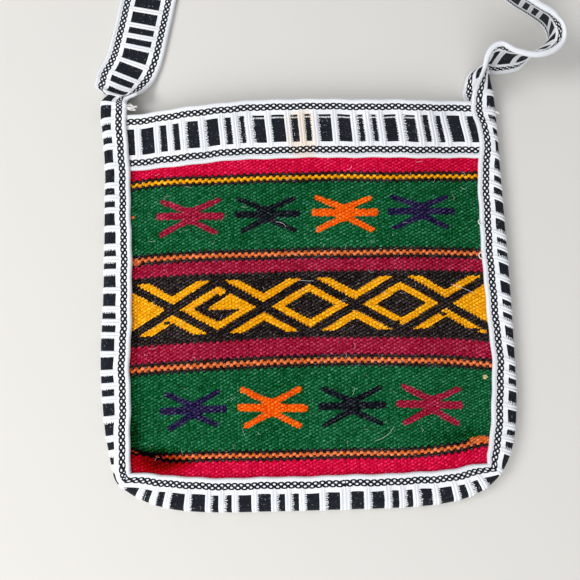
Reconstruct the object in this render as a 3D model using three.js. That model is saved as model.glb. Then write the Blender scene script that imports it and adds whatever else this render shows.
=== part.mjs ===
// A flat woven crossbody bag lying on its back, with its strap laid out above the mouth.
// Millimetres. X runs across the bag, +Y towards the mouth and +Z up from the floor.
// The origin is on the floor, under the middle of the bag.
import * as THREE from 'three';

// Bag outline: straight sides above the middle, a superellipse below it
const BAG_HALF_WIDTH = 130.6;
const BAG_HALF_HEIGHT = 130.8;
const CORNER_POWER = 5.3;
const SIDE_LEAN = 2.2;
const SIDE_TOP = 127.2;
const EDGE_HEIGHT = 10;

// Cloth
const BAND_WIDTH = 37.5;
const BACK_FLANGE_MOST = 19.6;
const BAND_THICK = 1.2;
const DOUBLED = 180;
const ON_EDGE = 90;
const PANEL_THICK = 1.5;
const GAP = 0.3;

// Front face: height of its rim under the folded band, and the crown of the slack cloth
const CROWN = 5;
const CROWN_INSET = 21.5;
const CROWN_RUN = 44;
const PANEL_INSET = 7;
const BOTTOM_CHORD = 1.5;
const BAND_LAP = 10;
const RIM_DROP_START = 58;
const RIM_DROP_END = 82;

// Mouth band, from left to right: its top edge is a low arch with a drooping left end
const MOUTH_BAND_HALF = 121;
const MOUTH = [
  { x: -122, top: 123.6, low: 86 },
  { x: -80, top: 126.4, low: 87.6 },
  { x: -50, top: 128.9, low: 89.8 },
  { x: -18, top: 130.3, low: 90.6 },
  { x: 20, top: 129.6, low: 90.2 },
  { x: 70, top: 127.4, low: 88.8 },
  { x: 122, top: 125, low: 88.4 },
];

// Back face: it lies flat on the floor inside this inset and climbs over the folded band outside it
const BACK_FLAT_INSET = 42;
const BACK_CLIMB_INSET = 24;

// Mesh steps
const PANEL_COLUMNS = 17;
const PANEL_ROWS = 18;
const BAND_COLUMNS = 22;
const BAND_ROWS = 4;
const FOLD_STEPS = 6;
const SIDE_STEPS = 8;
const CURVE_STEPS = 34;
const STRAP_STEP = 13;

// Front selvedge of the folded band: where it lies on the left and right of the panel, up the bag
const SIDE_SELVEDGE = [
  { y: -106, left: -111, right: 108.4 },
  { y: -80, left: -112.4, right: 112.2 },
  { y: -42, left: -112, right: 114.8 },
  { y: 2, left: -110.4, right: 113 },
  { y: 66, left: -111.4, right: 112.8 },
  { y: 102, left: -112, right: 115.2 },
  { y: 118, left: -111.8, right: 113.2 },
  { y: 128, left: -111.6, right: 111.8 },
];
// and where it lies below the panel, across the bag
const BOTTOM_SELVEDGE = [
  { x: -112, y: -104.8 },
  { x: -66, y: -108.8 },
  { x: 0, y: -109.4 },
  { x: 52, y: -109 },
  { x: 82, y: -108.2 },
  { x: 110, y: -105 },
];

// Dents (negative) and swells (positive) of the front cloth, each an oval bump
const FOLDS = [
  { x: -82, y: -98, height: -2.6, spread_x: 26, spread_y: 9 },
  { x: -101, y: -88, height: 1.6, spread_x: 10, spread_y: 16 },
  { x: 78, y: -92, height: -2.0, spread_x: 24, spread_y: 9 },
  { x: 0, y: -80, height: 1.2, spread_x: 60, spread_y: 26 },
  { x: -70, y: 62, height: -1.2, spread_x: 30, spread_y: 18 },
  { x: 62, y: 20, height: 0.8, spread_x: 40, spread_y: 50 },
];

// The free strap from the left corner of the mouth round to the right corner. Place is the middle of
// the fold, lean is the tilt of the cloth there (0 flat, 90 on its edge), fold is the angle between its
// two halves (180 doubled, 0 open) and front is the width of cloth on the front side of the fold.
const STRAP = [
  { x: -132.2, y: 127.9, lean: 90, fold: 180, front: 22.4 },
  { x: -131.8, y: 134, lean: 90, fold: 176, front: 21.6 },
  { x: -129.6, y: 140, lean: 78, fold: 150, front: 20.6 },
  { x: -122.8, y: 146, lean: 43, fold: 80, front: 19.4 },
  { x: -118.6, y: 151, lean: 16, fold: 30, front: 18.8 },
  { x: -115.6, y: 157, lean: 4, fold: 6, front: 18.7 },
  { x: -111.2, y: 167, lean: 1, fold: 0, front: 18.7 },
  { x: -105.8, y: 190, lean: 0, fold: 0, front: 18.7 },
  { x: -102, y: 208, lean: 0, fold: 0, front: 18.7 },
  { x: -91.5, y: 256, lean: 2, fold: 0, front: 18.7 },
  { x: -81.5, y: 306, lean: 14, fold: 0, front: 18.7 },
  { x: -73, y: 356, lean: 42, fold: 0, front: 18.7 },
  { x: -67, y: 408, lean: 72, fold: 0, front: 18.7 },
  { x: -60, y: 460, lean: 86, fold: 0, front: 18.7 },
  { x: -44, y: 508, lean: 88, fold: 0, front: 18.7 },
  { x: -13, y: 544, lean: 86, fold: 0, front: 18.7 },
  { x: 30, y: 556, lean: 84, fold: 0, front: 18.7 },
  { x: 73, y: 543, lean: 84, fold: 0, front: 18.7 },
  { x: 104, y: 508, lean: 84, fold: 0, front: 18.7 },
  { x: 118, y: 458, lean: 84, fold: 0, front: 18.7 },
  { x: 122, y: 402, lean: 82, fold: 0, front: 18.7 },
  { x: 120, y: 346, lean: 80, fold: 0, front: 18.7 },
  { x: 118, y: 300, lean: 78, fold: 0, front: 18.7 },
  { x: 118.5, y: 262, lean: 75, fold: 0, front: 18.7 },
  { x: 122.5, y: 231, lean: 72, fold: 0, front: 18.7 },
  { x: 131, y: 209, lean: 69, fold: 0, front: 18.7 },
  { x: 143, y: 195.5, lean: 67, fold: 0, front: 18.7 },
  { x: 156, y: 186.4, lean: 66, fold: 0, front: 18.7 },
  { x: 165, y: 178, lean: 68, fold: 0, front: 18.7 },
  { x: 166.4, y: 168, lean: 76, fold: 0, front: 18.7 },
  { x: 159, y: 158.6, lean: 98, fold: 0, front: 18.7 },
  { x: 146.5, y: 153.4, lean: 108, fold: 0, front: 18.7 },
  { x: 133, y: 152.4, lean: 98, fold: 0, front: 18.7 },
  { x: 124, y: 152, lean: 91, fold: 8, front: 18.7 },
  { x: 119.4, y: 146.6, lean: 94, fold: 40, front: 18.7 },
  { x: 122.2, y: 139.6, lean: 99, fold: 96, front: 18.7 },
  { x: 126, y: 133.4, lean: 96, fold: 150, front: 18.6 },
  { x: 127.8, y: 127.9, lean: 90, fold: 180, front: 18.5 },
];

// Surfaces
const wool = new THREE.MeshStandardMaterial({ color: 0x17532f, roughness: 0.95, metalness: 0 });
const cotton = new THREE.MeshStandardMaterial({ color: 0xebebee, roughness: 0.9, metalness: 0 });

const FOLD_RADIUS = (EDGE_HEIGHT - BAND_THICK) / 2;
const FOLD_ARC = Math.PI * FOLD_RADIUS;
const RIM_TOP = EDGE_HEIGHT - BAND_THICK - GAP;
const LAYER = BAND_THICK + GAP;
const radians = THREE.MathUtils.degToRad;
const ease = THREE.MathUtils.smoothstep;

// Value of one column of a table at a value of another, on a smooth curve through its rows
function along(rows, key, column, at) {
  const slope = (k) => {
    const low = rows[Math.max(k - 1, 0)];
    const high = rows[Math.min(k + 1, rows.length - 1)];
    return (high[column] - low[column]) / (high[key] - low[key]);
  };
  const next = rows.findIndex((row) => row[key] >= at);
  const k = next < 0 ? rows.length - 2 : Math.max(next - 1, 0);
  const run = rows[k + 1][key] - rows[k][key];
  const t = THREE.MathUtils.clamp((at - rows[k][key]) / run, 0, 1);
  const rise = rows[k + 1][column] - rows[k][column];
  const bend = (1 - t) * (slope(k) * run - rise) - t * (slope(k + 1) * run - rise);
  return rows[k][column] + rise * t + t * (1 - t) * bend;
}

// A closed mesh from rings of points, each ring joined to the next and the two ends capped.
// Ring points run along the outer face and then back along the inner face.
function ringSolid(name, rings, material) {
  const size = rings[0].length;
  const half = size / 2;
  const positions = rings.flat().flatMap((point) => [point.x, point.y, point.z]);
  const index = [];
  const quad = (a, b, c, d) => index.push(a, b, c, a, c, d);
  for (let r = 0; r < rings.length - 1; r += 1) {
    for (let k = 0; k < size; k += 1) {
      const next = (k + 1) % size;
      quad(r * size + k, r * size + next, (r + 1) * size + next, (r + 1) * size + k);
    }
  }
  const last = (rings.length - 1) * size;
  for (let k = 0; k < half - 1; k += 1) {
    const facing = size - 1 - k;
    quad(facing, facing - 1, k + 1, k);
    quad(last + k, last + k + 1, last + facing - 1, last + facing);
  }
  const geometry = new THREE.BufferGeometry();
  geometry.setAttribute('position', new THREE.Float32BufferAttribute(positions, 3));
  geometry.setIndex(index);
  geometry.computeVertexNormals();
  const mesh = new THREE.Mesh(geometry, material);
  mesh.name = name;
  return mesh;
}

// Cross-section of the band, from its back selvedge to its front selvedge, resting on the floor.
// Each point is [sideways, height, sideways part of the normal, height part of the normal].
function bandSection({ lean, fold, front }) {
  const back = Math.min(BAND_WIDTH - front, BACK_FLANGE_MOST);
  const half = FOLD_ARC / 2;
  const stops = [-back];
  for (let k = 0; k <= FOLD_STEPS; k += 1) stops.push(-half + (k * FOLD_ARC) / FOLD_STEPS);
  stops.push(front);
  const angleAt = (s) => radians(lean - fold * THREE.MathUtils.clamp(s / FOLD_ARC, -0.5, 0.5));
  const middle = stops.indexOf(0);
  const places = [];
  places[middle] = [0, 0];
  const walk = (from, to) => {
    const angle = angleAt((stops[from] + stops[to]) / 2);
    const run = stops[to] - stops[from];
    places[to] = [places[from][0] + run * Math.cos(angle), places[from][1] + run * Math.sin(angle)];
  };
  for (let k = middle + 1; k < stops.length; k += 1) walk(k - 1, k);
  for (let k = middle - 1; k >= 0; k -= 1) walk(k + 1, k);
  const points = places.map(([side, height], k) => {
    const angle = angleAt(stops[k]);
    return [side, height, -Math.sin(angle), Math.cos(angle)];
  });
  const undersides = points.map(([, height, , tilt]) => height - (Math.abs(tilt) * BAND_THICK) / 2);
  const lowest = Math.min(...undersides);
  return points.map(([side, height, nx, nz]) => [side, height - lowest, nx, nz]);
}

// Direction of travel in plan at a station. A doubled stretch of strap stays square to the bag.
function travelAt(stations, i) {
  const before = stations[Math.max(i - 1, 0)];
  const after = stations[Math.min(i + 1, stations.length - 1)];
  const travel = new THREE.Vector2(after.x - before.x, after.y - before.y).normalize();
  const { fold, free } = stations[i];
  const square = new THREE.Vector2(0, Math.sign(travel.y));
  return free ? travel.lerp(square, fold / DOUBLED).normalize() : travel;
}

// The band swept through stations in plan; its front half is on the right of the direction of travel
function sweepBand(name, stations) {
  const rings = stations.map((station, i) => {
    const travel = travelAt(stations, i);
    const right = new THREE.Vector3(travel.y, -travel.x, 0);
    const middle = new THREE.Vector3(station.x, station.y, 0);
    const face = (sign) => bandSection(station).map(([side, height, nx, nz]) => {
      const out = (sign * BAND_THICK) / 2;
      const point = middle.clone().addScaledVector(right, side + nx * out);
      return point.setZ(height + nz * out);
    });
    return [...face(1), ...face(-1).reverse()];
  });
  return ringSolid(name, rings, cotton);
}

// Half width of the outline, drawn in by an inset, at a height up the bag
function halfWidth(y, inset) {
  const across = BAG_HALF_WIDTH - inset;
  const down = BAG_HALF_HEIGHT - inset;
  const fall = Math.min(Math.max(-y / down, 0), 1);
  return across * (1 - fall ** CORNER_POWER) ** (1 / CORNER_POWER);
}

// Sideways shift of the bag's sides, which lean to the left above the middle
function sideShift(y) {
  return (-SIDE_LEAN * Math.max(y, 0)) / SIDE_TOP;
}

// Outline of the bag: down the right side, round the bottom and up the left side
function outlinePoints() {
  const outline = [];
  const straight = (sign, from, to) => {
    for (let k = 0; k < SIDE_STEPS; k += 1) {
      const y = THREE.MathUtils.lerp(from, to, k / SIDE_STEPS);
      outline.push({ x: sign * BAG_HALF_WIDTH + sideShift(y), y });
    }
  };
  straight(1, SIDE_TOP, 0);
  for (let k = 0; k <= CURVE_STEPS; k += 1) {
    const angle = (-k * Math.PI) / CURVE_STEPS;
    const reach = (value) => Math.sign(value) * Math.abs(value) ** (2 / CORNER_POWER);
    outline.push({
      x: BAG_HALF_WIDTH * reach(Math.cos(angle)),
      y: BAG_HALF_HEIGHT * reach(Math.sin(angle)),
    });
  }
  straight(-1, 0, SIDE_TOP);
  outline.push({ x: sideShift(SIDE_TOP) - BAG_HALF_WIDTH, y: SIDE_TOP });
  return outline.filter((place, k) => k === 0 || distance(place, outline[k - 1]) > 1);
}

// Depth of the front flange: from the outline inwards to the window that the selvedge leaves
function flangeDepth(place, inward) {
  const side = along(SIDE_SELVEDGE, 'y', place.x < 0 ? 'left' : 'right', place.y);
  const low = along(BOTTOM_SELVEDGE, 'x', 'y', place.x);
  const sideways = (side - place.x) / inward.x;
  const upwards = (low - place.y) / inward.y;
  const reaches = [sideways, upwards].filter((reach) => reach > 0 && reach < BAND_WIDTH);
  return Math.max(...reaches);
}

function distance(a, b) {
  return Math.hypot(a.x - b.x, a.y - b.y);
}

function gussetBand() {
  const outline = outlinePoints();
  const stations = outline.map((place, k) => {
    const before = outline[Math.max(k - 1, 0)];
    const after = outline[Math.min(k + 1, outline.length - 1)];
    const inward = new THREE.Vector2(after.y - before.y, before.x - after.x).normalize();
    return {
      x: place.x + (inward.x * BAND_THICK) / 2,
      y: place.y + (inward.y * BAND_THICK) / 2,
      lean: ON_EDGE,
      fold: DOUBLED,
      front: flangeDepth(place, inward) - EDGE_HEIGHT / 2 + FOLD_ARC / 2,
    };
  });
  return sweepBand('gusset_band', stations);
}

function shoulderStrap() {
  const curve = (pick) => new THREE.CatmullRomCurve3(STRAP.map((row) => new THREE.Vector3(...pick(row))));
  const places = curve((row) => [row.x, row.y, 0]);
  const shapes = curve((row) => [row.lean, row.fold, row.front]);
  const stations = [];
  for (let k = 0; k < STRAP.length - 1; k += 1) {
    const steps = Math.max(2, Math.round(distance(STRAP[k], STRAP[k + 1]) / STRAP_STEP));
    for (let j = 0; j < steps; j += 1) stations.push((k + j / steps) / (STRAP.length - 1));
  }
  stations.push(1);
  return sweepBand('shoulder_strap', stations.map((at) => {
    const { x, y } = places.getPoint(at);
    const shape = shapes.getPoint(at);
    return { x, y, lean: shape.x, fold: Math.max(shape.y, 0), front: shape.z, free: true };
  }));
}

// Height of the front panel's outer face
function frontHeight(x, y) {
  const rim = RIM_TOP - LAYER * ease(y, RIM_DROP_START, RIM_DROP_END);
  const reach = CROWN_INSET + CROWN_RUN;
  const sides = ease(BAG_HALF_WIDTH - Math.abs(x), CROWN_INSET, reach);
  const bottom = ease(BAG_HALF_HEIGHT + y, CROWN_INSET, reach);
  const lift = FOLDS.reduce((sum, bump) => {
    const away = ((x - bump.x) / bump.spread_x) ** 2 + ((y - bump.y) / bump.spread_y) ** 2;
    return sum + bump.height * Math.exp(-away);
  }, CROWN);
  return rim + lift * sides * bottom;
}

// Height of the back panel's underside: on the floor in the middle, over the band at its rim
function backHeight(x, y) {
  const near = Math.min(BAG_HALF_WIDTH - Math.abs(x), BAG_HALF_HEIGHT + y);
  const rim = LAYER * (1 - ease(near, BACK_CLIMB_INSET, BACK_FLAT_INSET));
  return rim + LAYER * ease(y, RIM_DROP_START, RIM_DROP_END);
}

// A panel between the rim of the bag and the lap under the mouth band, thickened from one face
function panel(name, lowFace, highFace) {
  const bottom = PANEL_INSET + BOTTOM_CHORD - BAG_HALF_HEIGHT;
  const rings = [];
  for (let r = 0; r <= PANEL_ROWS; r += 1) {
    const step = r / PANEL_ROWS;
    const rise = (step + step * step) / 2;
    const wide = halfWidth(bottom * (1 - 2 * rise), PANEL_INSET);
    const high = [];
    const low = [];
    for (let c = 0; c <= PANEL_COLUMNS; c += 1) {
      const x = wide * ((2 * c) / PANEL_COLUMNS - 1);
      const y = THREE.MathUtils.lerp(bottom, along(MOUTH, 'x', 'low', x) + BAND_LAP, rise);
      high.push(new THREE.Vector3(x, y, highFace(x, y)));
      low.push(new THREE.Vector3(x, y, lowFace(x, y)));
    }
    rings.push([...high, ...low.reverse()]);
  }
  return ringSolid(name, rings, wool);
}

// A mouth band: a straight strip along the mouth edge
function mouthBand(name, lowFace) {
  const rings = [];
  for (let r = 0; r <= BAND_ROWS; r += 1) {
    const high = [];
    const low = [];
    for (let c = 0; c <= BAND_COLUMNS; c += 1) {
      const x = MOUTH_BAND_HALF * ((2 * c) / BAND_COLUMNS - 1);
      const [lower, upper] = ['low', 'top'].map((edge) => along(MOUTH, 'x', edge, x));
      const y = THREE.MathUtils.lerp(lower, upper, r / BAND_ROWS);
      const z = lowFace(x, y);
      high.push(new THREE.Vector3(x, y, z + BAND_THICK));
      low.push(new THREE.Vector3(x, y, z));
    }
    rings.push([...high, ...low.reverse()]);
  }
  return ringSolid(name, rings, cotton);
}

const bag = new THREE.Group();
bag.add(
  panel('front_panel', (x, y) => frontHeight(x, y) - PANEL_THICK, frontHeight),
  panel('back_panel', backHeight, (x, y) => backHeight(x, y) + PANEL_THICK),
  mouthBand('front_top_band', (x, y) => frontHeight(x, y) + GAP),
  mouthBand('back_top_band', (x, y) => backHeight(x, y) - LAYER),
  gussetBand(),
  shoulderStrap(),
);

export default bag;
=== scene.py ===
# A flat hand-woven crossbody bag, lying on its back with its strap laid out above the mouth.
# Lengths are in millimetres until a mesh is made, and then in metres. X runs across the bag,
# +Y towards the mouth and +Z up from the floor.
import math

import bmesh
import bpy
import numpy as np
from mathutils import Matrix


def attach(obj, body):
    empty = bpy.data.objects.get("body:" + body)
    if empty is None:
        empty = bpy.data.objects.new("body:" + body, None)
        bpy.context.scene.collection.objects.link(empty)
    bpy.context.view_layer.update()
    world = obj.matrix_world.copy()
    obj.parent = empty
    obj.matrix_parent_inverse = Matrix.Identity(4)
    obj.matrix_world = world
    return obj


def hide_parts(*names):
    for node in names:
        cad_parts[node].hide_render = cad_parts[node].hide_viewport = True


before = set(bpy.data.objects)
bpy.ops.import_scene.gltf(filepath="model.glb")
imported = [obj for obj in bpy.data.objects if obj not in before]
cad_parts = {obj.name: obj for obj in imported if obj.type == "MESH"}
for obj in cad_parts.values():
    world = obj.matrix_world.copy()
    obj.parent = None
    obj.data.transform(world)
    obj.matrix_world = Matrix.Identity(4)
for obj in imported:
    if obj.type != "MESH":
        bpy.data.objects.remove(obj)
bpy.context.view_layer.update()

MM = 0.001

# Bag outline: straight sides above the middle, a superellipse below it
BAG_HALF_WIDTH = 130.6
BAG_HALF_HEIGHT = 130.8
CORNER_POWER = 5.3
SIDE_LEAN = 2.2
SIDE_TOP = 127.2
EDGE_HEIGHT = 10
# Shift of the left side from the even outline: y, shift in x
LEFT_DRAWN = [
    (-124, 0), (-120, -0.7), (-115.5, -1.9), (-112, -2.9), (-107, -2), (-102, -0.4), (-91, 0.7),
    (-65, 0.4), (-36, -0.6), (-6, 0.5), (28, 1.6), (62, 2.4), (84, 2.9), (109, 1.8), (118, 0.9),
    (128, 0),
]

# Cloth
BAND_WIDTH = 37.5
BACK_FLANGE_MOST = 19.6
BAND_THICK = 1.2
PANEL_THICK = 1.5
GAP = 0.3
DOUBLED = 180
ON_EDGE = 90

# Front and back faces
CROWN = 5
CROWN_INSET = 21.5
CROWN_RUN = 44
PANEL_INSET = 7
BAND_LAP = 10
RIM_DROP_START = 58
RIM_DROP_END = 82
BACK_FLAT_INSET = 42
BACK_CLIMB_INSET = 24
FOLD_RADIUS = (EDGE_HEIGHT - BAND_THICK) / 2
FOLD_ARC = math.pi * FOLD_RADIUS
RIM_TOP = EDGE_HEIGHT - BAND_THICK - GAP
LAYER = BAND_THICK + GAP

# Mouth band, from left to right: x, top edge, low edge, slant of its threads
MOUTH_BAND_HALF = 121
SLANT_SHARES = (0.2, 0.8)
MOUTH = [
    (-122, 123.6, 86, 0.4), (-80, 126.4, 87.6, 0.7), (-50, 128.9, 89.8, 0.8),
    (-18, 130.3, 90.6, 0.8), (20, 129.6, 90.2, 0.5), (45, 128.7, 89.5, 0.8), (70, 127.9, 88.8, 1),
    (85, 128, 89, 1.2), (97, 128.1, 89.2, 1.8), (108, 127.9, 89.2, 1.6), (122, 127.6, 89, 1.4),
]

# Front selvedge of the folded band beside the panel: y, left x, right x
SIDE_SELVEDGE = [
    (-106, -111, 108.4), (-80, -111.3, 112.2), (-60, -111.1, 113.8), (-42, -111.7, 114.8),
    (2, -110.4, 113), (66, -111.4, 112.8), (98, -112.7, 115.4), (107, -113.5, 114.6),
    (117, -114.3, 112), (128, -114.6, 111.6),
]
# and below it: x, y
BOTTOM_SELVEDGE = [
    (-112, -104.8), (-66, -108.8), (0, -109.4), (52, -109), (82, -108.2), (110, -105),
]

# Dents and swells of the front cloth: x, y, height, spread in x, spread in y
FOLDS = [
    (-82, -98, -2.6, 26, 9), (-101, -88, 1.6, 10, 16), (78, -92, -2, 24, 9), (0, -80, 1.2, 60, 26),
    (-70, 62, -1.2, 30, 18), (62, 20, 0.8, 40, 50),
]

# Sharp valleys along the lowest line of the weave: x, reach to the left and right, depth, half width
CREASES = [
    (-99, 10, 22, 4.2, 3.2), (97, 24, 12, 1.8, 4),
]

# Painted shade in the hollows of the front and along the left flange, darkening the wool there: x, y,
# amount, spread in x, spread in y
PAINTED_SHADE_HOLLOWS = [
    (-93, -100.5, 2.6, 14, 5), (-97, -93.5, 1.6, 12, 3.5), (-109, -84, 0.9, 5, 14),
    (90, -87.5, 0.7, 18, 4.5), (-109.5, -20, 0.5, 2.5, 80),
]

# The free strap: x, y, lean of the cloth, angle between its halves, width on the front of the fold,
# most height above the floor. A short row ends as the plain strap does.
PLAIN_STRAP = (0, 0, 0, 0, 18.7, 60)
STRAP_ROWS = [
    (-132.2, 127.9, 90, 180, 20.2, 11), (-131.9, 131.4, 90, 180, 20.5, 11),
    (-130.9, 134.8, 89, 178, 20, 11), (-129.4, 136.6, 83, 134, 19.6, 11),
    (-126.6, 138.6, 66, 57, 19.2, 11), (-121.6, 142, 22, -44, 18.9, 11),
    (-119.2, 150.5, 6, -10, 18.8, 12), (-115.4, 157, 1, 0, 18.7, 12), (-111.2, 167, 0, 0, 18.7, 12),
    (-105.8, 190), (-102, 208), (-91.5, 256, 2), (-81.5, 306, 14), (-73, 356, 42), (-67, 408, 72),
    (-60, 460, 86), (-44, 508, 88), (-13, 544, 86), (30, 556, 84), (73, 543, 84), (104, 508, 84),
    (118, 458, 84), (122, 402, 82), (120, 346, 80), (118, 300, 78), (118.5, 262, 75),
    (122.5, 231, 72), (129.6, 207.4, 69), (141.6, 193.9, 67), (153.4, 185, 66), (162.4, 177.2, 68),
    (164.2, 168, 76), (158.4, 158.6, 108, -10), (146.5, 153.4, 103, -32), (133, 152.4, 95, -24),
    (124, 152, 91, 8), (119.4, 146.6, 94, 40), (122.2, 139.6, 99, 96), (126, 133.4, 96, 150, 18.6),
    (127.8, 127.9, 90, 180, 18.5),
]
STRAP = [row + PLAIN_STRAP[len(row) :] for row in STRAP_ROWS]

# Way that the strap runs at the left corner of the mouth: y, degrees from +X
LEFT_CORNER_WAY = [
    (127.9, 90), (131, 85), (135, 75), (138.5, 66), (142, 63), (150.5, 64), (157, 66), (167, 67),
]

# Yarns, as screen colours from 0 to 255
YARNS = {
    "red": (207, 10, 64), "maroon": (157, 29, 60), "green": (18, 93, 54), "amber": (238, 165, 12),
    "orange": (242, 98, 5), "rust": (216, 114, 62), "black": (42, 35, 33), "ink": (23, 28, 35),
    "purple": (40, 32, 69), "straw": (205, 190, 140),
}

# Stripes of the panels from the mouth down, in picks of the weave; pick 0 is the first black one
STRIPES = [
    ("red", 0), ("black", 2), ("amber", 2), ("black", 2), ("green", 38), ("black", 2), ("rust", 2),
    ("black", 2), ("maroon", 7), ("black", 38), ("maroon", 9), ("black", 2), ("rust", 2),
    ("black", 2), ("green", 45), ("black", 2), ("rust", 2), ("black", 2), ("red", 20),
]
GROUND = 9

# How far up the bag five lines of the weave lie, across the bag
LINES = [
    (-114, 75.6, 26.2, -28.6, -43.4, -91.2),
    (-102, 77, 27.6, -27.6, -42.7, -94.4),
    (-90, 77.5, 28, -27, -42, -96.5),
    (-60, 77, 28.4, -26.2, -41, -96),
    (-25, 77.6, 28.3, -25, -40.1, -96.5),
    (0, 77.5, 28.5, -24.8, -39.8, -96.5),
    (25, 77.5, 28, -25.6, -39.9, -96.5),
    (60, 76.1, 27.5, -26.5, -41.2, -97.2),
    (90, 76.7, 27, -27.8, -42.6, -95),
    (102, 76.7, 26.6, -29, -44, -92.6),
    (114, 76.8, 26.2, -30.6, -45.2, -90.6),
]
# Picks that lie along those lines: pick, line, distance above the line
PICK_LINES = [
    (0, 1, 3.8), (6, 1, -2.9), (44, 2, 3.4), (50, 2, -3.7), (95, 3, 0), (104, 4, 4.4),
    (110, 4, -3.2), (155, 5, 3.2), (161, 5, -3.4),
]

# Picks beside the lowest line gather in its left crease: x, spread in x, most share lost
LOW_LINE = 5
GATHERED = (-103, 12, 0.62)

# Six-armed motifs: yarn, centre x and y, left and right end of the bar and its fall to the right,
# then the tips of the four arms from the centre
MOTIFS = [
    ("maroon", -73, 54.4, -22.5, 22, 1.6, (-19.5, 10.8), (20, 10.2), (-20.5, -12.2), (17.5, -11.8)),
    ("ink", -24, 54, -21, 22, 0.4, (-19, 11), (19, 10.5), (-17, -11.4), (19, -11.2)),
    ("orange", 25.5, 53.8, -21.5, 21.5, 1, (-19.5, 11.2), (18.5, 9.8), (-19, -11.8), (18.5, -12.3)),
    ("purple", 74.5, 53.6, -21.5, 22.5, -0.4, (-20, 10.4), (19, 10), (-19, -11.5), (18.5, -11)),
    ("purple", -72, -67.5, -21, 21.5, -1, (-18.5, 10.6), (17.5, 11.6), (-16, -12), (16, -10)),
    ("orange", -23.5, -67.3, -21, 22, 1.4, (-19.5, 12.4), (19, 12), (-18, -11.7), (18.5, -12)),
    ("ink", 26, -67.3, -21, 21, 0, (-19, 11.5), (19.5, 11.5), (-19, -12.2), (19, -12.2)),
    ("maroon", 75, -68, -22, 20.5, 2.5, (-18.5, 12.5), (19.5, 9.4), (-18.5, -11.5), (17.5, -13)),
]
BAR_HALF = 2.3
ARM_HALF = 2.05
ARM_TAPER = 0.22
ARM_ROOT = 2.6
HUB_ACROSS = 10
HUB_UP = 5.9

# Thick ends of two lines, flaws of the diamonds and stray tufts: yarn, x, y, half length, half height
KNOTS = [
    ("rust", 106, -90.6, 8, 2.3), ("rust", -110, 25.6, 5, 2), ("black", -87.4, -13.5, 2.2, 1.3),
    ("black", 55.8, -16.7, 2.2, 1.3), ("black", 85.4, -12.1, 2.2, 1.3),
    ("amber", 110.5, -23.7, 2.6, 1.3), ("rust", -110.2, 55, 1.1, 0.9),
    ("straw", 110, -52.2, 1.7, 1.5),
]

# The lowest rust line sinks into the crease: x where it is hidden, and where it is half hidden. Its beads
# there are made black, partly for the black-lined cloth folded over it and partly as painted shade
LINE_HIDDEN = (-105.5, -98)
LINE_HALF_HIDDEN = (-108, -93)
LOW_LINE_PICK = 157

# Diamond band: half a repeat across and up, and the edges of its rings as shares of those
DIAMOND_X = 1.6
DIAMOND_Y = -4.9
DIAMOND_DROP = 1
DIAMOND_HALF = 28.65
DIAMOND_RISE = 16.5
DIAMOND_CORE = 0.545
DIAMOND_RING = 0.83
CHEVRON_START = 1.2
CHEVRON_END = 1.5
CHEVRON_TOP = 17.3
CHEVRON_LOW = -15.9
CHEVRON_SPLIT = 5.3
HOOK_TOP = (-47.5, 4.2)
HOOK_FALL = (15, 9.9)
HOOK_WIDE = 2.4
HOOK_LOW = -6
HOOK_LEFT = -66

# Weave lattice: beads of weft in columns, each column one pick off the next. A bead is two picks tall.
COLUMN_PITCH = 2.08
PICK_PITCH = 1.11
FIRST_PICK = -20
LAST_PICK = 182
CELL_NECK = 0.34
BEAD_LONG = 0.78
BEAD_SHORT = 0.36
BEAD_HEIGHT = 0.9
BEAD_RISE = 0.45
BEAD_SADDLE = 0.5
BEAD_UNEVEN = 0.3
BEAD_SHIFT = 0.26
SHADE_UNEVEN = 0.15
TONE_UNEVEN = 0.9
WINDOW_MARGIN = 4
PANEL_LOW = -114
CELL_MARGIN = 1
LINING_COLUMNS = range(-52, 53, 2)
LINING_PICKS = range(-8, 159)

# Band pattern: length and mesh steps of the bars and of the gaps between them
WIDE_BAR = (9, 6)
NARROW_BAR = (5.1, 3)
BAR_GAP = (3.65, 8)
REPEAT_PARTS = [WIDE_BAR, BAR_GAP, WIDE_BAR, BAR_GAP, NARROW_BAR, BAR_GAP, NARROW_BAR, BAR_GAP]
REPEAT = sum(length for length, steps in REPEAT_PARTS)
LEAST_STEP = 0.004
ROUNDING = 1e-9
# Places and sizes across the band
BAR_SPAN = 17.3
CHAIN_MIDDLE = 5.05
CHAIN_ROW = 0.74
CHAINS_PER_REPEAT = 10
LINK_HOLE = (0.84, 0.56)
LINK_STRAND = (2.42, 1.5)
CORD_HEIGHT = 0.55
CORD_FADE = (CHAIN_MIDDLE + 1, CHAIN_MIDDLE + 4)
PATH_STEP = 0.25
SIDE_POINTS = 200
BOTTOM_POINTS = 3000
JOIN_BLEND = 9
LEAST_SPAN = 1e-4
LEAST_LENGTH = 1e-6
# Unevenness of the sewn edges: size, two lengths of wave, and how far the top edge runs ahead
WOBBLE = 0.18
WOBBLE_WAVES = (3.1, 7.7)
TOP_AHEAD = 40
# The cords of the right side slope down and outwards: slope, distance from the fold where they keep their
# place, distance where the slope ends, and the arcs where it starts, is full, starts to fade and has faded
RIGHT_SLOPE = 0.45
SLOPE_ROOT = 4.5
SLOPE_REACH = 9
SLOPE_ARCS = (0, 18, 165, 235)
SELVEDGE_ROUND = 0.8
SELVEDGE_STOPS = (0, 0.5, 1.2, 2, 2.8, 3.6)
MIDDLE_STEPS = 18
ROPE_WIDE = 2.8
ROPE_HEIGHT = 0.75
UNDER_SHARE = 0.5
# The ropes are stouter on the right loop: share of the height, and repeats where this starts, is full,
# starts to fade and has faded
LOOP_ROPE = 2.2
LOOP_REPEATS = (36, 39, 44.7, 45.3)
THREAD_PITCH = 0.52
RIB_PITCH = 1.07

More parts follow.
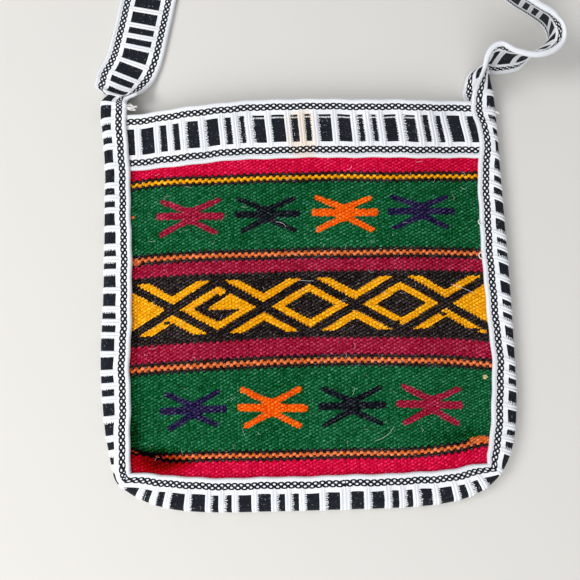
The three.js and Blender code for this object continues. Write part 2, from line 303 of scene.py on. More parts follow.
# Repeats of the band pattern along the folded band: arc from the right corner of the mouth, repeats
RIGHT_PHASE = [
    (0, -1.64), (67, 0), (108, 1), (147.8, 2), (188.5, 3), (229, 4), (275.7, 5), (318.3, 6),
    (342, 6.56),
]
LEFT_PHASE = [
    (342, 9.92), (345.9, 10), (388, 11), (428.5, 12), (472.9, 13), (516.7, 14), (557.5, 15),
    (597.8, 16), (637.5, 17), (677.7, 18), (721, 19), (727.1, 19.105),
]
# and along the free strap from the left corner; the last one is the right corner
STRAP_PHASE = [
    (0, 19.105), (9.5, 19.403), (19.5, 19.653), (27.5, 19.855), (37, 20.105), (76, 21.105),
    (130, 22.5), (900, 41.86), (962, 43.7), (1030, 45.36),
]
MOUTH_PHASE_X = -96.25

# Loose ends of sewing thread: x, y, rise above the front cloth, heading, length, bend
THREADS = [
    (-114.6, 129, 2.6, -12, 7, 30), (-114.4, 129.6, 2.8, 22, 6, -60),
    (-114.2, 128.4, 2.4, -20, 7, 50), (-114.6, 130.2, 2.4, 40, 4.5, -70),
    (-113.8, 127.8, 2.2, -30, 5.5, 40), (-114.4, 128.6, 3, 4, 6.5, -40),
    (112.2, 47.6, 2.2, 190, 7, 250), (113, 26.4, 2.2, 150, 8, 220), (124.4, 121, 0.4, 8, 6.5, -50),
    (124.2, 120.2, 0.2, -25, 5.5, 40), (124.6, 121.8, 0.4, 35, 5, 30),
]
THREAD_RADIUS = 0.38
# Long pale hairs on the wool, in the same way
HAIRS = [
    (91.3, 6.3, 0.6, -14, 16, -12), (39.7, -89, 0.6, 9, 15, 50), (-5.2, 11.2, 0.6, -10, 10, 10),
    (-18.1, 48.7, 0.6, 6, 7.4, -60),
]
HAIR_RADIUS = 0.1
FIBRE_COUNT = 75
FIBRE_RADIUS = 0.065
FIBRE_ARCH = 0.5
FIBRE_STEPS = 10
# Ranges of the short fibres: x, y, length, heading, bend
FIBRE_RANGES = [(-106, 106), (-102, 86), (1.5, 5), (0, 360), (-150, 150)]

# Cotton, loose fibres and floor, as screen colours
WHITE = (238, 240, 243)
SOILED = (228, 230, 234)
STAINED = (238, 220, 198)
# The next two are painted shade, along the selvedge ropes and in the cords' grooves
SELVEDGE_PAINTED_SHADE = (205, 208, 212)
GROOVE_PAINTED_SHADE = (120, 124, 134)
BLACK = (16, 19, 24)
WORN_BLACK = (40, 44, 51)
FLECK_GREY = (150, 154, 160)
FIBRE_WHITE = (244, 245, 246)
FIBRE_CREAM = (226, 222, 210)
FLOOR_GREY = (214, 211, 205)

# Noise over the cloth: scale, detail
WOOL_FIBRE = (1600, 3)
COTTON_FIBRE = (1500, 3)
COTTON_SOIL = (45, 2)
COTTON_FLECK = (650, 2)
FIBRE_TONE = (60, 2)
# Tone of the wool: scale and detail of a noise, its range, and the change of tone over that range
WOOL_TONES = [
    (*WOOL_FIBRE, 0.3, 0.7, -0.07, 0.07),
    (28, 2, 0.3, 0.7, -0.015, 0.015),
    (800, 2, 0.35, 0.75, -0.05, 0.09),
]
# and with the lift of a bead, painted shade in the valleys and saddles between beads and a painted
# highlight on their tops: change, start
LIFT_PAINTED_SHADE = (0.15, -0.12)
SCREEN_GAMMA = 2.2
DARKEST = 0.01

# Marks on the cotton, and painted shade along its selvedges and in its grooves: range of a noise or of a
# distance, and the share that shows over it
SOIL_SHOWN = (0.35, 0.7, 0, 1)
STREAK_SHOWN = (0.35, 0.75, 0, 0.6)
STREAK_CHANCE = 0.4
FLECK_SHOWN = (0.64, 0.72, 0, 0.45)
SELVEDGE_SHADE_SHOWN = (1.6, 3.4, 0.4, 0)
GROOVE_SHADE_SHOWN = 0.22
# The front of the bag is above this height
FRONT_OVER = 6
# Stain on the front mouth band: axis, middle and spread, then its ragged edge
STAIN = [("X", 0.5, 12.5), ("Y", 106, 17)]
STAIN_RAGGED = (0.3, 0.7, -0.5, 0.5)
STAIN_SHOWN = (0.3, 1.1, 0.8, 0)
# White dashes over the bars of the front mouth band: place across the band and half width, middle and half
# length of their run, and the edge of the bag that they stay below
DASH_ROW = (25.6, 0.45)
DASH_MIDDLE = 19.5
DASH_HALF = 55.5
DASH_BELOW = 128
DASH_SHOWN = (0.4, 0.55, 0.2, 0.9)

# Frayed sides of the bars: cells of chance in a repeat, length by chance and on every other thread in
# repeats, and the share on each side of a bar over a range of chance
FRAY_CELLS = 8
FRAY_CHANCE = 0.022
FRAY_OTHER = 0.03
FRAY_BEFORE = (0, 1, 0.5, 1.1)
FRAY_AFTER = (0.3, 1, 0, 0.5)
# Repeats over which the fray dies down, and its share before and after them
FRAY_CALM = [(13, 14, 1, 0.7), (18.9, 19.3, 1, 0.4)]
FRAY_AFTER_CALM = (7, 9, 1, 0.2)

# Fine relief: strength, distance in metres
WOOL_BUMP = (0.5, 0.0003)
COTTON_BUMP = (0.5, 0.0004)
RIB_HEIGHT = 0.25
# Surfaces: roughness, specular level, sheen
WOOL_SHINE = (0.95, 0.05, 0.02)
COTTON_SHINE = (0.95, 0.08, 0.02)
DULL = 0.9

# Floor, light and camera, in metres and degrees
FLOOR_SIZE = 3
FLOOR_DROP = 0.001
SKY = (0.92, 0.95, 1, 1)
SKY_STRENGTH = 0.45
CAMERA_SENSOR = 36
CAMERA_LENS = 37.24
CAMERA_PLACE = (-0.01143, -0.0355, 0.3877)
CAMERA_TURN = (6.2, 0, -1.5)

noise = np.random.default_rng(7)


def ease(value, low, high):
    t = np.clip((value - low) / (high - low), 0, 1)
    return t * t * (3 - 2 * t)


def rise_and_fade(value, start, full, fade, end):
    return ease(value, start, full) * (1 - ease(value, fade, end))


def between(value, low, high):
    return (value > low) & (value < high)


def bell(*offs):
    return np.exp(-sum(off**2 for off in offs))


def along(rows, column, at):
    """A table's column at places in its first column, on a smooth curve through the rows."""
    keys, values = np.array([(row[0], row[column]) for row in rows], float).T
    slopes = np.empty(len(keys))
    slopes[1:-1] = (values[2:] - values[:-2]) / (keys[2:] - keys[:-2])
    slopes[0] = (values[1] - values[0]) / (keys[1] - keys[0])
    slopes[-1] = (values[-1] - values[-2]) / (keys[-1] - keys[-2])
    at = np.asarray(at, float)
    k = np.clip(np.searchsorted(keys, at) - 1, 0, len(keys) - 2)
    run = keys[k + 1] - keys[k]
    rise = values[k + 1] - values[k]
    t = np.clip((at - keys[k]) / run, 0, 1)
    bend = (1 - t) * (slopes[k] * run - rise) - t * (slopes[k + 1] * run - rise)
    return values[k] + rise * t + t * (1 - t) * bend


def half_width(y, inset):
    fall = np.clip(-y / (BAG_HALF_HEIGHT - inset), 0, 1)
    return (BAG_HALF_WIDTH - inset) * (1 - fall**CORNER_POWER) ** (1 / CORNER_POWER)


def side_shift(y):
    return -SIDE_LEAN * np.maximum(y, 0) / SIDE_TOP


def swells(rows, x, y):
    """Sum of round swells at places. A row is x, y, height, spread in x and spread in y."""
    total = 0
    for middle_x, middle_y, height, spread_x, spread_y in rows:
        total = total + height * bell((x - middle_x) / spread_x, (y - middle_y) / spread_y)
    return total


def front_height(x, y):
    rim = RIM_TOP - LAYER * ease(y, RIM_DROP_START, RIM_DROP_END)
    reach = CROWN_INSET + CROWN_RUN
    sides = ease(BAG_HALF_WIDTH - np.abs(x), CROWN_INSET, reach)
    bottom = ease(BAG_HALF_HEIGHT + y, CROWN_INSET, reach)
    lift = CROWN + swells(FOLDS, x, y)
    low_line = along(LINES, LOW_LINE, x)
    valley = 0
    for middle, left, right, depth, wide in CREASES:
        reach = np.where(x < middle, left, right)
        valley = valley + depth * bell((x - middle) / reach, (y - low_line) / wide)
    return rim + lift * sides * bottom - valley


def back_height(x, y):
    near = np.minimum(BAG_HALF_WIDTH - np.abs(x), BAG_HALF_HEIGHT + y)
    rim = LAYER * (1 - ease(near, BACK_CLIMB_INSET, BACK_FLAT_INSET))
    return rim + LAYER * ease(y, RIM_DROP_START, RIM_DROP_END)


def linear(colour):
    """A screen colour from 0 to 255 as linear light, with alpha."""
    parts = [c / 255 for c in colour]
    return tuple(c / 12.92 if c < 0.04045 else ((c + 0.055) / 1.055) ** 2.4 for c in parts) + (1.0,)


# Woven panels


def kept_spread(x, line):
    """Share of their spread that the picks beside a line keep."""
    middle, spread, lost = GATHERED
    return 1 - (line == LOW_LINE) * lost * bell((x - middle) / spread)


def weave_y(x, pick):
    """Height up the bag of a pick of the weave, which may be a fraction."""
    knots = np.array([row[0] for row in PICK_LINES], float)
    heights = [along(LINES, line, x) + above * kept_spread(x, line) for _, line, above in PICK_LINES]
    lines = np.array(heights)
    k = np.clip(np.searchsorted(knots, pick) - 1, 0, len(knots) - 2)
    t = np.clip((pick - knots[k]) / (knots[k + 1] - knots[k]), 0, 1)
    here = np.arange(len(x))
    beyond = np.minimum(pick - knots[0], 0) + np.maximum(pick - knots[-1], 0)
    return lines[k, here] * (1 - t) + lines[k + 1, here] * t - beyond * PICK_PITCH


YARN_NAMES = list(YARNS)
YARN_LIGHT = np.array([linear(YARNS[name]) for name in YARN_NAMES])


def number(yarn):
    return YARN_NAMES.index(yarn)


def stripe_at(pick):
    """Number of the stripe that a pick is in."""
    edges = np.cumsum([picks for yarn, picks in STRIPES])
    return np.clip(np.searchsorted(edges, pick, side="right"), 0, len(STRIPES) - 1)


def stripe_light(pick):
    return YARN_LIGHT[number(STRIPES[stripe_at(pick)][0])]


def off_arm(x, y, tip):
    """Distance from an arm's middle line, counted as more towards its thin tip."""
    length = math.hypot(*tip)
    ahead = (x * tip[0] + y * tip[1]) / length
    aside = (x * tip[1] - y * tip[0]) / length
    end = length - ARM_HALF
    away = np.hypot(aside, ahead - np.clip(ahead, 0, end))
    return away / (1 - ARM_TAPER * np.clip(ahead / length, 0, 1))


def add_motifs(yarn, x, y):
    green = yarn == number("green")
    for name, middle_x, middle_y, left, right, fall, *tips in MOTIFS:
        across = x - middle_x
        up = y - middle_y
        bar_up = up + fall * across / (right - left)
        beyond = across - np.clip(across, left + BAR_HALF, right - BAR_HALF)
        shown = np.hypot(beyond, bar_up) < BAR_HALF
        for tip in tips:
            root = math.copysign(ARM_ROOT, tip[1])
            shown |= off_arm(across, up - root, (tip[0], tip[1] - root)) < ARM_HALF
        shown |= np.abs(across) / HUB_ACROSS + np.abs(up) / HUB_UP < 1
        yarn[green & shown] = number(name)


def add_diamonds(yarn, ground, x, y):
    up = y - DIAMOND_Y + DIAMOND_DROP * (x / BAG_HALF_WIDTH) ** 2
    cell = np.round((x - DIAMOND_X) / (2 * DIAMOND_HALF))
    across = x - DIAMOND_X - 2 * DIAMOND_HALF * cell
    away = np.abs(across) / DIAMOND_HALF + np.abs(up) / DIAMOND_RISE
    chevron = between(away, CHEVRON_START, CHEVRON_END) & between(up, CHEVRON_LOW, CHEVRON_TOP)
    chevron &= np.abs(across) > CHEVRON_SPLIT
    ring = away < DIAMOND_RING
    core = (away < DIAMOND_CORE) & (np.abs(cell) < 2)
    amber = chevron | (ring & ~core)
    # The left diamond is filled from the right, and its core is left as a hook
    beside = ((x - HOOK_TOP[0]) * HOOK_FALL[1] - (y - HOOK_TOP[1]) * HOOK_FALL[0]) / math.hypot(*HOOK_FALL)
    hook = ring & (cell == -1) & (y > HOOK_LOW)
    amber[hook & (beside > 0)] = True
    amber[hook & (beside <= 0) & (beside > -HOOK_WIDE) & (x > HOOK_LEFT)] = False
    yarn[ground & amber] = number("amber")


def yarns_at(x, y, pick):
    """Numbers of the yarns that show at places on the panel; pick is the pick of each place's bead."""
    stripe = stripe_at(pick)
    yarn = np.array([number(name) for name, picks in STRIPES])[stripe]
    add_motifs(yarn, x, y)
    add_diamonds(yarn, stripe == GROUND, x, y)
    # Rust beads of the lowest line are made black in the crease, partly as painted shade
    low_line = (yarn == number("rust")) & (pick > LOW_LINE_PICK - 1)
    half_hidden = between(x, *LINE_HALF_HIDDEN) & (pick < LOW_LINE_PICK + 1)
    yarn[low_line & (between(x, *LINE_HIDDEN) | half_hidden)] = number("black")
    for name, knot_x, knot_y, half_long, half_high in KNOTS:
        yarn[((x - knot_x) / half_long) ** 2 + ((y - knot_y) / half_high) ** 2 < 1] = number(name)
    return yarn


def bead_corners():
    """Corners of a lattice cell and of the raised bead in it, in columns and picks.

    The bead slants up to the right, and its two ends meet the next beads on that slant at a saddle.
    """
    far = 1 - CELL_NECK
    half = [(far, 0), (0.5, 0.5), (CELL_NECK, 1), (-CELL_NECK, 1)]
    cell = half + [(-x, -y) for x, y in half]
    slant = math.atan2(PICK_PITCH, COLUMN_PITCH)
    long = (BEAD_LONG * math.cos(slant) / COLUMN_PITCH, BEAD_LONG * math.sin(slant) / PICK_PITCH)
    short = (-BEAD_SHORT * math.sin(slant) / COLUMN_PITCH, BEAD_SHORT * math.cos(slant) / PICK_PITCH)
    signs = [(1, -1), (1, 1), (-1, 1), (-1, -1)]
    bead = [(a * long[0] + b * short[0], a * long[1] + b * short[1]) for a, b in signs]
    # Picks are counted down the bag
    return np.array(cell) * (1, -1), np.array(bead) * (1, -1)


# Faces of a bead, by its cell corners (0 to 7) and raised corners (8 to 11)
BEAD_FACES = [
    (0, 1, 9, 8), (1, 2, 9), (2, 3, 10, 9), (3, 4, 10), (4, 5, 11, 10), (5, 6, 11), (6, 7, 8, 11),
    (7, 0, 8), (8, 9, 10, 11),
]
FLAT_FACES = [tuple(range(8))]


def panel_cells():
    """Middles of the lattice cells of a panel, as columns and picks, with their places."""
    most = int(BAG_HALF_WIDTH / COLUMN_PITCH)
    columns = range(-most, most + 1)
    grid = [(c, p) for c in columns for p in range(FIRST_PICK, LAST_PICK) if (c + p) % 2 == 0]
    cells = np.array(grid, float) + (0, 0.5)
    x, y = panel_place(cells)
    inside = np.abs(x) < half_width(y, PANEL_INSET) - CELL_MARGIN
    inside &= between(y, PANEL_LOW, along(MOUTH, 2, x) + BAND_LAP - CELL_MARGIN)
    return cells[inside], x[inside], y[inside]


def panel_place(points):
    """Places on the bag of points in columns and picks."""
    x = points[..., 0] * COLUMN_PITCH
    return x, weave_y(x.ravel(), points[..., 1].ravel()).reshape(x.shape)


def uneven(amount, shape):
    return amount * (noise.random(shape) - 0.5)


def woven_panel(name, height, outward, window):
    """A panel of raised beads on its outer face and plain stripes on its inner face."""
    cells, x, y = panel_cells()
    corners, bead = bead_corners()
    outline = np.round(cells[:, None, :] + corners, 4)
    raised = cells[:, None, :] + bead + uneven(BEAD_SHIFT, (len(cells), 1, 2))
    shared, index = np.unique(outline.reshape(-1, 2), axis=0, return_inverse=True)
    index = index.reshape(-1, len(corners))

    def surface(points, lift):
        px, py = panel_place(points)
        return np.column_stack([px, py, height(px, py) + outward * lift]) * MM

    saddle = np.where(np.mod(shared[:, 0], 1) == 0.5, BEAD_SADDLE, 0)
    low = surface(shared, BEAD_RISE - BEAD_HEIGHT * (1 - saddle))
    swell = BEAD_RISE * (1 + uneven(BEAD_UNEVEN, len(cells)))
    high = surface(raised.reshape(-1, 2), np.repeat(swell, len(bead))).reshape(-1, len(bead), 3)

    points = np.concatenate([outline, raised], axis=1)
    faces = np.stack([points[:, face].mean(axis=1) for face in BEAD_FACES], axis=1)
    face_x, face_y = panel_place(faces)
    picks = np.repeat(cells[:, 1], len(BEAD_FACES))
    yarn = yarns_at(face_x.ravel(), face_y.ravel(), picks).reshape(face_x.shape)
    shade = 1 + uneven(SHADE_UNEVEN, len(cells))
    tone = 1 + uneven(TONE_UNEVEN, len(cells))
    dip = saddle
    # Painted shade: the front's hollows lower the lift of the bead tops and valleys, which darkens them
    if outward > 0:
        tone -= swells(PAINTED_SHADE_HOLLOWS, x, y)
        dip = saddle - swells(PAINTED_SHADE_HOLLOWS, *panel_place(shared))

    mesh = bmesh.new()
    yarn_layer = mesh.faces.layers.float_color.new("yarn")
    # The lift layer sets painted shade and highlight: low in the valleys, half way at the saddles, near one
    # with random tone on the bead tops
    lift_layer = mesh.verts.layers.float.new("lift")
    low_verts = [mesh.verts.new(place) for place in low]
    for vert, share in zip(low_verts, dip):
        vert[lift_layer] = share
    shown = window(x, y)
    high_verts = {}
    for k in np.flatnonzero(shown):
        high_verts[k] = [mesh.verts.new(place) for place in high[k]]
        for vert in high_verts[k]:
            vert[lift_layer] = tone[k]
    for k in range(len(cells)):
        verts = [low_verts[i] for i in index[k]] + high_verts.get(k, [])
        for f, face in enumerate(BEAD_FACES if shown[k] else FLAT_FACES):
            loop = [verts[i] for i in face]
            made = mesh.faces.new(loop if outward > 0 else loop[::-1])
            colour = YARN_LIGHT[yarn[k, f]] * shade[k]
            colour[3] = 1
            made[yarn_layer] = colour
            made.smooth = True
    close_panel(mesh, yarn_layer, lift_layer, surface, outward)
    return finish_mesh(name, mesh)


def close_panel(mesh, yarn_layer, lift_layer, surface, outward):
    """The inner face of a panel: a striped lining joined to the edge of the outer face."""
    rim = [edge for edge in mesh.edges if edge.is_boundary]
    made = bmesh.ops.extrude_edge_only(mesh, edges=rim)["geom"]
    for item in made:
        if isinstance(item, bmesh.types.BMVert):
            item.co.z -= outward * PANEL_THICK * MM
    grid = []
    for pick in LINING_PICKS:
        points = np.array([(column, pick) for column in LINING_COLUMNS], float)
        grid.append([mesh.verts.new(place) for place in surface(points, -PANEL_THICK)])
        for vert in grid[-1]:
            vert[lift_layer] = 1
    lining = []
    for pick, (upper, lower) in zip(LINING_PICKS, zip(grid, grid[1:])):
        colour = stripe_light(pick + 0.5)
        for a, b, c, d in zip(upper, upper[1:], lower[1:], lower):
            face = mesh.faces.new((a, b, c, d) if outward > 0 else (d, c, b, a))
            face[yarn_layer] = colour
            lining.append(face)
    wall = {edge for item in made if isinstance(item, bmesh.types.BMFace) for edge in item.edges}
    ends = {edge for face in lining for edge in face.edges}
    border = [edge for edge in wall | ends if edge.is_boundary]
    filled = bmesh.ops.triangle_fill(mesh, edges=border, use_beauty=True, normal=(0, 0, -outward))["geom"]
    picks = np.arange(FIRST_PICK, LAST_PICK) + 0.5
    for item in made + filled:
        if isinstance(item, bmesh.types.BMFace):
            middle = item.calc_center_median() / MM
            heights = weave_y(np.full(len(picks), middle.x), picks)
            pick = picks[np.argmin(np.abs(heights - middle.y))]
            item[yarn_layer] = stripe_light(pick)
    bmesh.ops.recalc_face_normals(mesh, faces=mesh.faces)


def add_object(name, data):
    made = bpy.data.objects.new(name, data)
    bpy.context.scene.collection.objects.link(made)
    return made


def finish_mesh(name, mesh):
    data = bpy.data.meshes.new(name)
    mesh.to_mesh(data)
    mesh.free()
    return add_object(name, data)


def selvedges(x, y):
    """The left, right and low edges of the folded band on the front, beside places."""
    return along(SIDE_SELVEDGE, 1, y), along(SIDE_SELVEDGE, 2, y), along(BOTTOM_SELVEDGE, 1, x)


def front_window(x, y):
    left, right, low = selvedges(x, y)
    inside = between(x, left - WINDOW_MARGIN, right + WINDOW_MARGIN)
    return inside & (y > low - WINDOW_MARGIN) & back_window(x, y)


def back_window(x, y):
    return y < along(MOUTH, 2, x) + WINDOW_MARGIN


# Woven bands

# Places of mesh points across the band, closer together along its selvedges
EDGE_STOPS = np.array(SELVEDGE_STOPS)
MIDDLE_STOPS = np.linspace(EDGE_STOPS[-1], BAND_WIDTH - EDGE_STOPS[-1], MIDDLE_STEPS + 1)[1:-1]
SHARES_ACROSS = np.concatenate([EDGE_STOPS, MIDDLE_STOPS, BAND_WIDTH - EDGE_STOPS[::-1]]) / BAND_WIDTH


def band_sections(lean, fold, front, room):
    """Sideways place, height and normal of points across the band, for an array of stations."""
    back = np.minimum(BAND_WIDTH - front, BACK_FLANGE_MOST)
    stops = -back[:, None] + SHARES_ACROSS[None] * (back + front)[:, None]

    def angle(s):
        return np.radians(lean[:, None] - fold[:, None] * np.clip(s / FOLD_ARC, -0.5, 0.5))

    middle = angle((stops[:, 1:] + stops[:, :-1]) / 2)
    run = np.diff(stops, axis=1)
    start = np.zeros((len(lean), 1))
    side = np.hstack([start, np.cumsum(run * np.cos(middle), axis=1)])
    rise = np.hstack([start, np.cumsum(run * np.sin(middle), axis=1)])
    for k in range(len(lean)):
        side[k] -= np.interp(0, stops[k], side[k])
        rise[k] -= np.interp(0, stops[k], rise[k])
    # Where the fold opens out the cloth sags under its own weight
    height = rise.max(axis=1) - rise.min(axis=1)
    rise = rise * np.minimum(1, room / np.maximum(height, 1))[:, None]
    turn = angle(stops)
    normal_side = -np.sin(turn)
    normal_up = np.cos(turn)
    lowest = (rise - np.abs(normal_up) * BAND_THICK / 2).min(axis=1)
    return side, rise - lowest[:, None], normal_side, normal_up, front[:, None] - stops


# Ends of the bars and gaps, as shares of a repeat
REPEAT_MARKS = np.cumsum([0] + [length for length, steps in REPEAT_PARTS]) / REPEAT


def repeat_steps(start, end):
    """Mesh stations between two counts of repeats, placed to follow the cords."""
    parts = zip(REPEAT_MARKS, REPEAT_MARKS[1:], REPEAT_PARTS)
    one = np.concatenate([np.linspace(a, b, steps, endpoint=False) for a, b, (_, steps) in parts])
    whole = np.arange(math.floor(start), math.ceil(end) + 1)
    every = (whole[:, None] + one[None]).ravel()
    inside = every[between(every, start + LEAST_STEP, end - LEAST_STEP)]
    return np.concatenate([[start], inside, [end]])


def cord_profile(repeats):
    """Roundness of the cords in the gaps, nearness to a gap's middle, and where the gaps are."""
    share = np.mod(repeats, 1)
    k = np.searchsorted(REPEAT_MARKS, share + ROUNDING, side="right") - 1
    k = np.clip(k, 0, len(REPEAT_PARTS) - 1)
    within = (share - REPEAT_MARKS[k]) / (REPEAT_MARKS[k + 1] - REPEAT_MARKS[k])
    return np.abs(np.sin(2 * np.pi * within)), np.sin(np.pi * within), k % 2 == 1


def band_relief(across, repeats):
    """Lifts of the outer and inner face over the band's middle, and the share of painted shade in the
    cords' grooves.

    Cords cross the band between its bars, and a rope runs along each selvedge.
    """
    cords, middle, gap = cord_profile(repeats)
    from_edge = np.minimum(across, BAND_WIDTH - across)
    inner = ease(from_edge, *CORD_FADE)
    relief = np.where(gap, CORD_HEIGHT * cords, 0)[:, None] * inner
    groove = np.where(gap, (1 - cords) * middle, 0)[:, None] * inner
    off_rope = np.clip(2 * from_edge / ROPE_WIDE - 1, -1, 1)
    thick = BAND_THICK / 2 * ease(from_edge, -SELVEDGE_ROUND, SELVEDGE_ROUND)
    stout = 1 + (LOOP_ROPE - 1) * rise_and_fade(repeats, *LOOP_REPEATS)
    relief = relief + ROPE_HEIGHT * stout[:, None] * np.sqrt(1 - off_rope**2)
    return (thick + relief, -thick - UNDER_SHARE * relief), groove


def right_of(travel):
    return np.column_stack([travel[:, 1], -travel[:, 0]])


def ribbon(name, path, travel, shape, slope, repeats):
    """The band swept along a path in plan, with its front half on the right of the way it runs."""
    right = right_of(travel)
    side, rise, normal_side, normal_up, across = band_sections(*shape)
    lifts, groove = band_relief(across, repeats)
    ahead = slope[:, None] * (SLOPE_ROOT - np.minimum(side, SLOPE_REACH))
    middle = path[:, None, :] + travel[:, None, :] * ahead[:, :, None]
    layers = []
    for lift in lifts:
        reach = side + normal_side * lift
        plan = middle + right[:, None, :] * reach[:, :, None]
        layers.append(np.dstack([plan, rise + normal_up * lift]))
    return band_mesh(name, layers, across, repeats, groove)


def there_and_back(face, back):
    return np.concatenate([face, back[:, ::-1]], axis=1)


def tube_faces(rings, size):
    """Faces between rings of points, each ring closed."""
    here = np.arange(rings - 1)[:, None] * size + np.arange(size)
    after = np.roll(here, -1, axis=1)
    return np.stack([here, after, after + size, here + size], axis=-1).reshape(-1, 4).tolist()


def band_mesh(name, layers, across, repeats, groove):
    """A closed strip between an outer and an inner layer of points."""
    outer, inner = layers
    stations, points = outer.shape[:2]
    size = 2 * points
    verts = there_and_back(outer, inner).reshape(-1, 3) * MM
    quads = tube_faces(stations, size)
    last = (stations - 1) * size
    caps = []
    for j in range(points - 1):
        facing = size - 1 - j
        caps.append((facing, facing - 1, j + 1, j))
        caps.append((last + j, last + j + 1, last + facing - 1, last + facing))
    data = bpy.data.meshes.new(name)
    data.from_pydata(verts.tolist(), [], quads + caps)
    smooth = np.arange(len(data.polygons)) < len(quads)
    data.polygons.foreach_set("use_smooth", smooth)
    place = there_and_back(across, across).reshape(-1) / BAND_WIDTH
    count = np.repeat(repeats, size)
    loops = np.empty(len(data.loops), int)
    data.loops.foreach_get("vertex_index", loops)
    layer = data.uv_layers.new(name="band")
    layer.data.foreach_set("uv", np.column_stack([place, count])[loops].reshape(-1))
    # The groove attribute carries the painted shade of the cords' grooves
    tone = data.attributes.new("groove", "FLOAT", "POINT")
    tone.data.foreach_set("value", there_and_back(groove, groove).reshape(-1))
    data.update()
    return add_object(name, data)


def superellipse(value):
    return np.sign(value) * np.abs(value) ** (2 / CORNER_POWER)


def outline_path():
    """The bag's outline at even steps: down the right side, round the bottom and up the left."""
    right_y = np.linspace(SIDE_TOP, 0, SIDE_POINTS, endpoint=False)
    angle = np.linspace(0, -np.pi, BOTTOM_POINTS)
    left_y = np.linspace(0, SIDE_TOP, SIDE_POINTS)[1:]
    right = np.column_stack([BAG_HALF_WIDTH + side_shift(right_y), right_y])
    bottom_x = BAG_HALF_WIDTH * superellipse(np.cos(angle))
    bottom = np.column_stack([bottom_x, BAG_HALF_HEIGHT * superellipse(np.sin(angle))])
    left = np.column_stack([side_shift(left_y) - BAG_HALF_WIDTH, left_y])
    points = np.vstack([right, bottom, left])
    points[:, 0] += np.where(points[:, 0] < 0, along(LEFT_DRAWN, 1, points[:, 1]), 0)
    return even_steps(points)


def lengths_along(path):
    return np.concatenate([[0], np.cumsum(np.linalg.norm(np.diff(path, axis=0), axis=1))])


def resampled(at, keys, rows):
    return np.column_stack([np.interp(at, keys, column) for column in rows.T])


def unit(rows):
    return rows / np.linalg.norm(rows, axis=1)[:, None]


def even_steps(points):
    steps = np.linalg.norm(np.diff(points, axis=0), axis=1)
    points = points[np.concatenate([[True], steps > LEAST_LENGTH])]
    arc = lengths_along(points)
    at = np.linspace(0, arc[-1], int(arc[-1] / PATH_STEP) + 1)
    return resampled(at, arc, points)


def directions(path):
    return unit(np.gradient(path, axis=0))


def flange_depth(place, inward):
    left, right, low = selvedges(*place.T)
    side = np.where(place[:, 0] < 0, left, right)
    with np.errstate(divide="ignore", invalid="ignore"):
        reaches = np.column_stack([(side - place[:, 0]) / inward[:, 0], (low - place[:, 1]) / inward[:, 1]])
    reaches[~between(reaches, 0, BAND_WIDTH)] = 0
    return reaches.max(axis=1)


def wobble(length):
    """Small unevenness of a hand-sewn edge along its length."""
    short, long = WOBBLE_WAVES
    return WOBBLE * (np.sin(length / short) + np.sin(length / long + 1))


def edge_stations():
    """Rows of x, y, lean, fold, front width, most height and slope of the cords along the folded band."""
    place = outline_path()
    travel = directions(place)
    inward = right_of(travel)
    arc = lengths_along(place)
    front = flange_depth(place, inward) - EDGE_HEIGHT / 2 + FOLD_ARC / 2 + wobble(arc)
    middle = place + inward * BAND_THICK / 2
    flat = np.ones(len(place))
    slope = RIGHT_SLOPE * rise_and_fade(arc, *SLOPE_ARCS)
    return np.column_stack([middle, flat * ON_EDGE, flat * DOUBLED, front, flat * EDGE_HEIGHT, slope])


def catmull(rows):
    """A centripetal curve through rows of numbers, as a function of the stretch and of shares along it."""
    rows = np.array(rows, float)
    ends = np.vstack([2 * rows[0] - rows[1], rows, 2 * rows[-1] - rows[-2]])

    def at(k, t):
        p0, p1, p2, p3 = ends[k : k + 4]
        spans = [math.sqrt(np.linalg.norm(b - a)) for a, b in ((p0, p1), (p1, p2), (p2, p3))]
        here = spans[1] if spans[1] >= LEAST_SPAN else 1
        before = spans[0] if spans[0] >= LEAST_SPAN else here
        after = spans[2] if spans[2] >= LEAST_SPAN else here
        leave = ((p1 - p0) / before - (p2 - p0) / (before + here) + (p2 - p1) / here) * here
        arrive = ((p2 - p1) / here - (p3 - p1) / (here + after) + (p3 - p2) / after) * here
        t = t[:, None]
        bend = -3 * p1 + 3 * p2 - 2 * leave - arrive
        twist = 2 * p1 - 2 * p2 + leave + arrive
        return p1 + leave * t + bend * t**2 + twist * t**3

    return at


def strap_stations():
    """Rows like those of the folded band along the free strap, at even steps."""
    places = catmull([row[:2] for row in STRAP])
    shapes = catmull([row[2:] for row in STRAP])
    stations = []
    for k in range(len(STRAP) - 1):
        length = math.dist(STRAP[k][:2], STRAP[k + 1][:2])
        t = np.linspace(0, 1, max(2, round(length / PATH_STEP)), endpoint=k == len(STRAP) - 2)
        stations.append(np.hstack([places(k, t), shapes(k, t)]))
    stations = np.vstack(stations)
    return np.column_stack([stations, np.zeros(len(stations))])


def blend_joins(stations, joins):
    """Stations of a closed loop, smoothed near the places where the strap leaves the bag."""
    reach = int(2 * JOIN_BLEND / PATH_STEP)
    kernel = np.hanning(reach + 1)
    kernel /= kernel.sum()
    count = len(stations)
    wrapped = np.vstack([stations[-reach:], stations, stations[:reach]])
    soft = np.column_stack([np.convolve(column, kernel, "same") for column in wrapped.T])[reach:-reach]
    here = np.arange(count)
    share = np.zeros(count)
    for join in joins:
        away = np.abs((here - join + count / 2) % count - count / 2) * PATH_STEP
        share = np.maximum(share, 1 - ease(away, 0, 2 * JOIN_BLEND))
    return stations + (soft - stations) * share[:, None]


